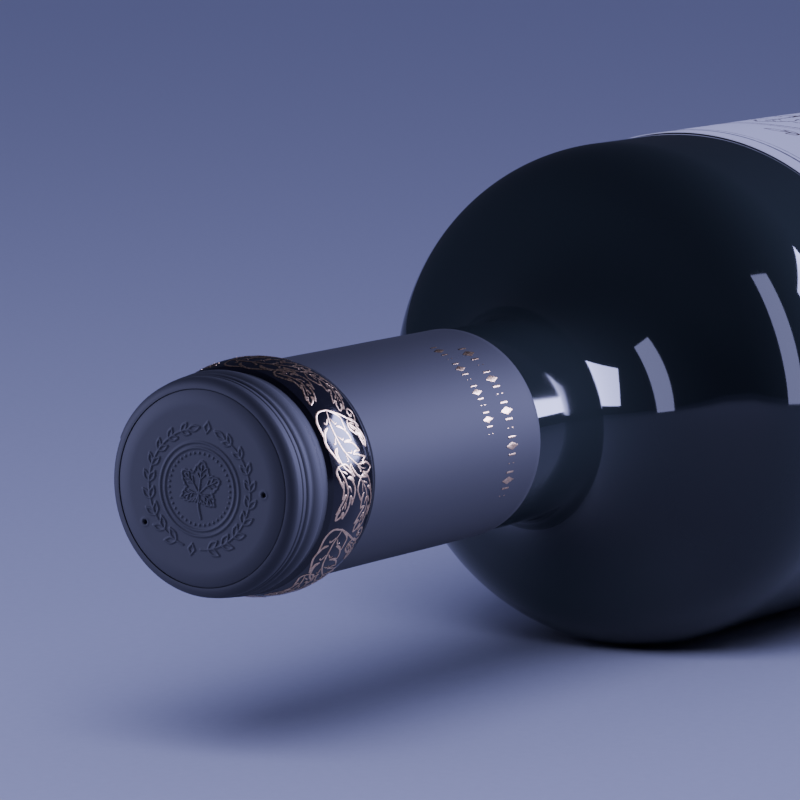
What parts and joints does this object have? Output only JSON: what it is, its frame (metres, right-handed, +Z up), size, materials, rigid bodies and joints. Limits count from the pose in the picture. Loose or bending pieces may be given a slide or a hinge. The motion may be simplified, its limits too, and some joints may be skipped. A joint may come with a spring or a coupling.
{
  "type": "wine bottle",
  "caption": "Dark glass wine bottle lying on its side, closed with a black shrink sleeve with a gold printed band and an embossed end disc, with a pale paper label on the body.",
  "frame": {"origin": "middle of the bottom of the bounding box, on the flat spot along the underside of the body", "axes": "+Z up, +X along the bottle's axis from the neck to the base, +Y to the bottle's left as seen from the base"},
  "size_m": [0.31, 0.075, 0.0748],
  "materials": {
    "dark_glass": "glossy, near-black, filled with dark wine",
    "sleeve_film": "black satin shrink film, glossy under the printed band",
    "disc_plastic": "black satin, embossed",
    "gold_foil": "thin hot-stamped foil lines on the sleeve",
    "label_paper": "uncoated off-white paper",
    "label_ink": "dark printed rules on the label"
  },
  "bodies": {
    "root": {"bottle_glass": "dark_glass", "capsule_sleeve": "sleeve_film", "capsule_disc": "disc_plastic", "label_paper": "label_paper"}
  },
  "joints": []
}
